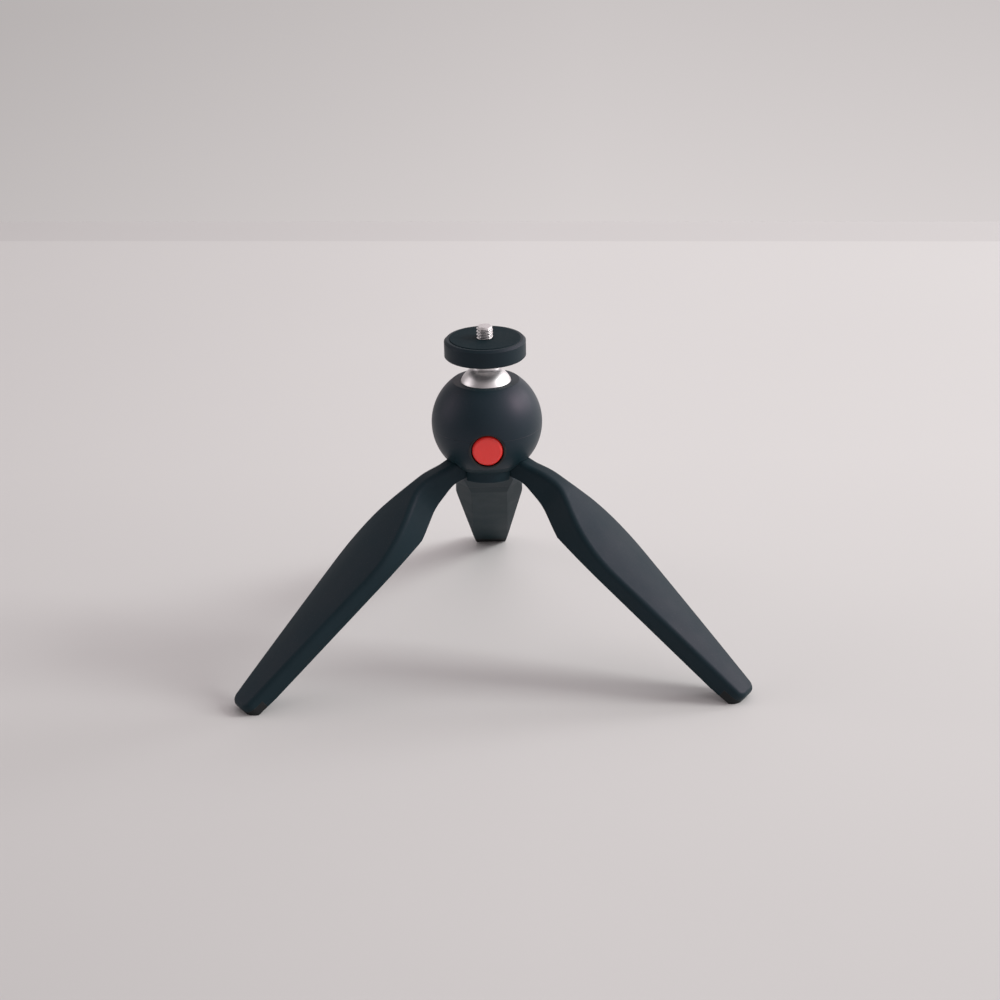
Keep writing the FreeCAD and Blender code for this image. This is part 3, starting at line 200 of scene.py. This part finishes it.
# The soft coating reflects the window in a slightly warm tone.
WARM_GLINT = (1.0, 0.72, 0.90)
housing_coating = moulded(
    "housing_soft_touch", (0.0050, 0.0225, 0.0290), (0.0060, 0.0255, 0.0325), (0.036, 0.042, 0.050),
    roughness=0.46, grain_depth=0.000012, dust=0.08, specular=0.34, glint=WARM_GLINT,
)
dress(housing_coating, "upper_shell", "lower_shell")

# Hub base
# The lower half of the leg hinges, moulded from the same black plastic without the coating, so
# that it is a little harder and greyer. Three small zinc-plated screws hold it from below.
hub_plastic = moulded(
    "hub_moulding", (0.0050, 0.0250, 0.0310), (0.0060, 0.0280, 0.0345), (0.032, 0.040, 0.046),
    roughness=0.56, grain=3200.0, dust=0.10, specular=0.25, glint=WARM_GLINT,
)
dress(hub_plastic, "hub_base")

# Drawn or ground metal: fine lines along one direction, streaks of tone, rubbed bright edges.
STREAK_SIZE = 1400.0
STREAK_CHANGE = 0.04
STAIN_DULLS = 0.08
RUBBED_BRIGHTER = 1.15
metal_lines, taken, given = new_group(
    "Metal lines",
    {"Lines": 9000.0, "Stain size": 160.0},
    {"Height": "NodeSocketFloat", "Streak": "NodeSocketFloat", "Stain": "NodeSocketFloat"},
)
place = lay(metal_lines, "ShaderNodeTexCoord")
where = lay(metal_lines, "ShaderNodeSeparateXYZ", {0: place.outputs["Object"]})
x_squared = number(metal_lines, "MULTIPLY", where.outputs[0], where.outputs[0])
y_squared = number(metal_lines, "MULTIPLY", where.outputs[1], where.outputs[1])
outward = number(metal_lines, "SQRT", number(metal_lines, "ADD", x_squared, y_squared))
along = number(metal_lines, "ADD", number(metal_lines, "MULTIPLY", outward, 0.8), where.outputs[2])
lines = lay(metal_lines, "ShaderNodeTexNoise", {"W": along, "Scale": taken["Lines"], "Detail": 2.0},
            noise_dimensions="1D")
streaks = lay(metal_lines, "ShaderNodeTexNoise", {"W": along, "Scale": STREAK_SIZE, "Detail": 3.0},
              noise_dimensions="1D")
stains = lay(metal_lines, "ShaderNodeTexNoise",
             {"Vector": place.outputs["Object"], "Scale": taken["Stain size"], "Detail": 5.0})
streak = spread(metal_lines, streaks.outputs[0], 0.3, 0.7)
stain = spread(metal_lines, stains.outputs[0], 0.45, 0.75)
give(metal_lines, given, Height=lines.outputs[0], Streak=streak, Stain=stain)


def metal(name, colour, stained, roughness, lines=9000.0, line_depth=0.000002, edge=0.0002):
    """A bare metal with tool lines, streaks, faint stains and bright rubbed edges."""
    material, tree, shader = new_material(name)
    tooled = placed_group(tree, metal_lines, {"Lines": lines})
    wear = placed_group(tree, edge_wear, {"Radius": edge})
    body = blend(tree, tooled.outputs["Stain"], opaque(colour), opaque(stained))
    bright = tuple(min(1.0, channel * RUBBED_BRIGHTER) for channel in colour)
    tree.links.new(blend(tree, wear.outputs["Mask"], body, opaque(bright)), shader.inputs["Base Color"])
    smooth, rough = roughness - STREAK_CHANGE, roughness + STREAK_CHANGE
    streaky = spread(tree, tooled.outputs["Streak"], 0.0, 1.0, smooth, rough)
    dulled = number(tree, "MULTIPLY", tooled.outputs["Stain"], STAIN_DULLS)
    tree.links.new(number(tree, "ADD", streaky, dulled), shader.inputs["Roughness"])
    bump = lay(tree, "ShaderNodeBump",
               {"Distance": line_depth, "Strength": 1.0, "Height": tooled.outputs["Height"],
                "Normal": wear.outputs["Normal"]})
    tree.links.new(bump.outputs[0], shader.inputs["Normal"])
    shader.inputs["Metallic"].default_value = 1.0
    return material


dress(metal("zinc_plating", (0.56, 0.57, 0.60), (0.45, 0.44, 0.42), roughness=0.34),
      "hub_screws", "mechanism_plate_screws")

# Legs
# Each leg is a hollow black moulding over a steel strip, closed on its inner side by a bevelled
# cover and tipped with a rubber pad. It turns on a steel pin between two friction washers.
LEGS = ("rear", "front_left", "front_right")
leg_coating = moulded(
    "leg_soft_touch", (0.0050, 0.0215, 0.0265), (0.0060, 0.0240, 0.0300), (0.034, 0.040, 0.046),
    roughness=0.52, grain_depth=0.000014, dust=0.10, specular=0.20, glint=WARM_GLINT,
)
cover_plastic = moulded(
    "leg_cover_moulding", (0.0055, 0.0225, 0.0270), (0.0070, 0.0250, 0.0300), (0.032, 0.038, 0.042),
    roughness=0.56, grain=3200.0, dust=0.08, specular=0.19, glint=WARM_GLINT,
)
foot_rubber = moulded(
    "foot_rubber", (0.0080, 0.0110, 0.0125), (0.0110, 0.0140, 0.0155), (0.040, 0.042, 0.043),
    roughness=0.72, grain=2400.0, grain_depth=0.00003, dust=0.3, specular=0.35,
)
core_steel = metal("core_strip", (0.46, 0.45, 0.43), (0.34, 0.31, 0.28), roughness=0.42)
pin_steel = metal("ground_pin", (0.62, 0.61, 0.60), (0.52, 0.50, 0.47), roughness=0.24)
washer_fibre = moulded(
    "washer_fibre", (0.16, 0.055, 0.030), (0.20, 0.075, 0.040), (0.26, 0.12, 0.08),
    roughness=0.7, grain=2600.0, dust=0.1,
)
for leg in LEGS:
    dress(leg_coating, f"leg_{leg}_shell")
    dress(cover_plastic, f"leg_{leg}_inner_cover")
    dress(core_steel, f"leg_{leg}_core")
    dress(foot_rubber, f"leg_{leg}_foot_pad")
    dress(pin_steel, f"hinge_pin_{leg}")
    dress(washer_fibre, f"friction_washers_{leg}")

# Release button
# A glossy red cap on a black plunger that slides in a sleeve pressed into the housing. Behind it
# a pressed steel fork straddles the brake's stem, and a wound spring brings it all back.
dress(moulded("sleeve_plastic", (0.0045, 0.0070, 0.0085), (0.0060, 0.0090, 0.0105), (0.040, 0.044, 0.048),
              roughness=0.34, grain=2600.0, grain_depth=0.000005, dust=0.05),
      "button_sleeve")
dress(moulded("button_red", (0.95, 0.026, 0.022), (0.98, 0.034, 0.026), (0.98, 0.15, 0.11),
              roughness=0.26, grain=1800.0, grain_depth=0.000002, dust=0.04, gloss=0.5),
      "button_cap")
dress(moulded("plunger_plastic", (0.020, 0.021, 0.022), (0.026, 0.027, 0.028), (0.06, 0.06, 0.06),
              roughness=0.5),
      "button_plunger")
dress(metal("pressed_fork", (0.52, 0.51, 0.50), (0.42, 0.40, 0.37), roughness=0.38), "release_fork")
spring_wire = metal("spring_wire", (0.42, 0.41, 0.40), (0.30, 0.28, 0.26), roughness=0.32, lines=5000.0)
dress(spring_wire, "button_return_spring", "brake_spring", "stud_clip")

# Brake
# A pressed steel plate across the housing guides a slippery white cup, which its spring holds up
# against the ball until the button's fork pulls it down.
dress(metal("pressed_plate", (0.54, 0.54, 0.55), (0.44, 0.42, 0.40), roughness=0.36), "mechanism_plate")
dress(moulded("brake_cup_plastic", (0.60, 0.58, 0.52), (0.66, 0.64, 0.58), (0.72, 0.70, 0.66),
              roughness=0.42, grain=2200.0, grain_depth=0.000006, dust=0.2),
      "brake_cup")

# Ball and stud
# One piece of aluminium, turned and finely bead blasted: the ball, its waist, the flange under the
# platform and the journal inside it. A slippery black ring in the housing wraps the ball.
dress(moulded("seat_ring_plastic", (0.006, 0.008, 0.009), (0.008, 0.010, 0.011), (0.03, 0.03, 0.03),
              roughness=0.42, dust=0.1),
      "ball_seat_ring")
dress(metal("turned_aluminium", (0.80, 0.785, 0.785), (0.74, 0.72, 0.72), roughness=0.42, lines=7000.0,
            line_depth=0.000004),
      "ball_stud")

# Camera platform
# A black coated disc that turns on the stud and screws itself to the camera, with a rubber pad
# let into its top so that the camera doesn't slip.
dress(moulded("platform_coating", (0.0050, 0.0200, 0.0245), (0.0060, 0.0220, 0.0275), (0.050, 0.058, 0.064),
              roughness=0.46, grain=3600.0, grain_depth=0.000010, dust=0.08, specular=0.24,
              glint=WARM_GLINT),
      "platform_disc")
dress(moulded("pad_rubber", (0.0050, 0.0175, 0.0215), (0.0060, 0.0195, 0.0240), (0.030, 0.040, 0.046),
              roughness=0.70, grain=2600.0, grain_depth=0.00002, dust=0.12, specular=0.12,
              glint=WARM_GLINT),
      "platform_pad")

# Camera screw
# A bright steel screw, 1/4 inch with 20 threads to the inch, on a thin flange that lies under the
# pad. The thread starts at an undercut inside the pad and ends at a bevelled tip.
THREAD_PITCH = 0.0254 / 20
THREAD_RADIUS = 0.003175
THREAD_DEPTH = 0.54 * THREAD_PITCH
CREST_HALF = 1 / 16
ROOT_FROM = 3 / 8
SMOOTH_UNDER = math.radians(28)
THREAD_RELIEF = 0.0026
TIP_BEVEL = 0.0006
FLANGE_THICK = 0.0016
UNDERCUT_STEP = 0.0001
SCREW_SIDES = 72
RINGS_PER_PITCH = 22


def thread_at(level, turn, tip):
    """Radius of the right-hand thread at a level and an angle, cut back by the tip's bevel.

    Along runs from one crest (0) to the next (1). The flank falls from crest to root.
    """
    along = (level / THREAD_PITCH - turn / (2 * math.pi)) % 1.0
    from_crest = min(along, 1.0 - along)
    flank = (from_crest - CREST_HALF) / (ROOT_FROM - CREST_HALF)
    radius = THREAD_RADIUS - THREAD_DEPTH * min(1.0, max(0.0, flank))
    return min(radius, THREAD_RADIUS - TIP_BEVEL + tip - level)


def skin_of_rings(name, rings):
    """A closed mesh through rings of points, with a fan at each end."""
    sides = len(rings[0])
    points = [point for ring in rings for point in ring]
    faces = []
    for first in range(0, len(points) - sides, sides):
        for side in range(sides):
            after = (side + 1) % sides
            faces.append((first + side, first + after, first + sides + after, first + sides + side))
    last = len(points) - sides
    for start, step in ((0, -1), (last, 1)):
        height = points[start][2]
        points.append((0.0, 0.0, height))
        for side in range(sides):
            pair = (start + side, start + (side + 1) % sides)
            faces.append((*pair[::step], len(points) - 1))
    mesh = bpy.data.meshes.new(name)
    mesh.from_pydata(points, [], faces)
    mesh.validate()
    mesh.shade_smooth()
    mesh.set_sharp_from_angle(angle=SMOOTH_UNDER)
    thing = bpy.data.objects.new(name, mesh)
    bpy.context.scene.collection.objects.link(thing)
    return thing


screw_low, screw_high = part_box("camera_screw")
pad_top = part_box("platform_pad")[1].z
tip = screw_high.z
flange_top = screw_low.z + FLANGE_THICK
thread_rings = round((tip - pad_top) / THREAD_PITCH * RINGS_PER_PITCH)
profile = [
    (screw_low.z, screw_high.x),
    (flange_top, screw_high.x),
    (flange_top, THREAD_RELIEF),
    (pad_top - UNDERCUT_STEP, THREAD_RELIEF),
]
for ring in range(thread_rings + 1):
    profile.append((pad_top + (tip - pad_top) * ring / thread_rings, None))
rings = []
for level, fixed in profile:
    ring = []
    for side in range(SCREW_SIDES):
        turn = 2 * math.pi * side / SCREW_SIDES
        radius = thread_at(level, turn, tip) if fixed is None else fixed
        ring.append((radius * math.cos(turn), radius * math.sin(turn), level))
    rings.append(ring)
camera_screw = skin_of_rings("camera_screw_threaded", rings)
camera_screw.data.materials.append(
    metal("bright_screw", (0.78, 0.765, 0.765), (0.70, 0.68, 0.67), roughness=0.24, line_depth=0.000002))
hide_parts("camera_screw")
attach(camera_screw, "platform")

# Table
# A pale satin tabletop with a darker band of painted shade along its far edge, which shows in the
# background. Painted shade also darkens the tabletop a little to the left and towards the front.
TABLE_TURN = math.radians(-4.7)
TABLE_REACH = 2.6
TABLE_THICK = 0.03
TABLE_EDGE = 0.545
BAND_EDGE = 0.583
CLOUD_SIZE = 3.0
BLACK = (0.0, 0.0, 0.0)


def table_paint_and_shade(name, colour, darker, roughness):
    """A painted surface with a faint cloudy tone, and painted shade that darkens it to the left and to the
    front.
    """
    material, tree, shader = new_material(name)
    place = lay(tree, "ShaderNodeTexCoord")
    cloud = lay(tree, "ShaderNodeTexNoise",
                {"Vector": place.outputs["Object"], "Scale": CLOUD_SIZE, "Detail": 4.0})
    tone = spread(tree, cloud.outputs[0], 0.3, 0.7)
    where = lay(tree, "ShaderNodeSeparateXYZ", {0: place.outputs["Object"]})
    # Painted shade: the surface darkens towards the left and towards the front.
    left_painted_shade = spread(tree, where.outputs[0], -0.35, 0.02, 0.80, 1.0)
    front_painted_shade = spread(tree, where.outputs[1], -0.40, 0.20, 0.845, 1.0)
    painted_shade = number(tree, "MULTIPLY", left_painted_shade, front_painted_shade)
    paint = blend(tree, tone, opaque(colour), opaque(darker))
    tree.links.new(blend(tree, painted_shade, opaque(BLACK), paint), shader.inputs["Base Color"])
    shader.inputs["Roughness"].default_value = roughness
    shader.inputs["Specular IOR Level"].default_value = 0.12
    return material


def slab(name, low, high, material, turn=0.0):
    """A box between two corners, turned about the vertical through the origin."""
    corners = [(x, y, z) for x in (low[0], high[0]) for y in (low[1], high[1]) for z in (low[2], high[2])]
    faces = [(0, 1, 3, 2), (4, 6, 7, 5), (0, 4, 5, 1), (2, 3, 7, 6), (0, 2, 6, 4), (1, 5, 7, 3)]
    mesh = bpy.data.meshes.new(name)
    mesh.from_pydata(corners, [], faces)
    mesh.transform(Matrix.Rotation(turn, 4, "Z"))
    mesh.materials.append(material)
    thing = bpy.data.objects.new(name, mesh)
    bpy.context.scene.collection.objects.link(thing)


slab("tabletop", (-TABLE_REACH, -TABLE_REACH, -TABLE_THICK), (TABLE_REACH, TABLE_EDGE, 0.0),
     table_paint_and_shade("table_paint_and_shade", (0.742, 0.736, 0.724), (0.727, 0.720, 0.710), roughness=0.60),
     TABLE_TURN)
# The darker band along the far edge is painted shade for the table's shadowed back edge.
slab("table_band", (-TABLE_REACH, TABLE_EDGE, -TABLE_THICK), (TABLE_REACH, BAND_EDGE, 0.0),
     table_paint_and_shade("band_painted_shade", (0.680, 0.671, 0.662), (0.665, 0.655, 0.648), roughness=0.50),
     TABLE_TURN)

# Light
# Two soft windows to the right, a weak one to the left, and a pale room that is brighter to the
# right and the back and dark in front. Behind the table the camera sees it as a pale wall, with painted
# shade that darkens it to the left and near the top.


def window(name, place, size, power, colour):
    """A square lamp that faces the origin."""
    lamp = bpy.data.lights.new(name, "AREA")
    lamp.shape = "SQUARE"
    lamp.size = size
    lamp.energy = power
    lamp.color = colour
    thing = bpy.data.objects.new(name, lamp)
    thing.location = place
    thing.rotation_euler = (-Vector(place)).to_track_quat("-Z", "Y").to_euler()
    bpy.context.scene.collection.objects.link(thing)


window("window_right", place=(2.85, -0.16, 1.87), size=1.10, power=56.0, colour=(0.985, 1.0, 0.985))
window("window_back", place=(2.70, 1.30, 1.30), size=0.98, power=22.0, colour=(1.0, 0.985, 1.0))
window("window_left", place=(-1.5, 0.15, 0.70), size=1.00, power=4.6, colour=(1.0, 0.93, 0.95))

ROOM_COLOUR = (1.0, 0.915, 0.935)
WALL_COLOUR = (0.680, 0.640, 0.636)
room = bpy.data.worlds.new("pale_room")
room.use_nodes = True
tree = room.node_tree
direction = lay(tree, "ShaderNodeTexCoord")
heading = lay(tree, "ShaderNodeSeparateXYZ", {0: direction.outputs["Generated"]})
rightward = number(tree, "MULTIPLY", heading.outputs[0], 0.85)
backward = number(tree, "MULTIPLY", heading.outputs[1], 0.30)
lit = spread(tree, number(tree, "ADD", rightward, backward), -0.5, 0.9, 0.26, 1.15)
glow = blend(tree, lit, opaque(BLACK), opaque(ROOM_COLOUR))
# Painted shade on the wall: darker to the left and near the top.
left_shade = spread(tree, heading.outputs[0], -0.17, 0.03, 0.79, 1.0)
top_shade = spread(tree, heading.outputs[2], -0.29, -0.22, 1.0, 0.87)
shade = number(tree, "MULTIPLY", left_shade, top_shade)
wall = blend(tree, shade, opaque(BLACK), opaque(WALL_COLOUR))
ray = lay(tree, "ShaderNodeLightPath")
seen = blend(tree, ray.outputs["Is Camera Ray"], glow, wall)
tree.links.new(seen, tree.nodes["Background"].inputs["Color"])
bpy.context.scene.world = room
bpy.context.scene.view_settings.view_transform = "Standard"

# Camera
# A long lens from the front and above. Its place was worked out from the photo's outlines.
CAMERA_PLACE = (0.00435, -1.12452, 0.51580)
ELEVATION = math.radians(21.95)
ROLL = math.radians(-1.38)
camera_data = bpy.data.cameras.new("photo_camera")
camera_data.sensor_width = 36.0
camera_data.lens = 111.09
camera_data.clip_start = 0.05
camera_data.clip_end = 20.0
camera = bpy.data.objects.new("photo_camera", camera_data)
camera.matrix_world = (
    Matrix.Translation(CAMERA_PLACE)
    @ Matrix.Rotation(math.pi / 2 - ELEVATION, 4, "X")
    @ Matrix.Rotation(ROLL, 4, "Z")
)
bpy.context.scene.collection.objects.link(camera)
bpy.context.scene.camera = camera
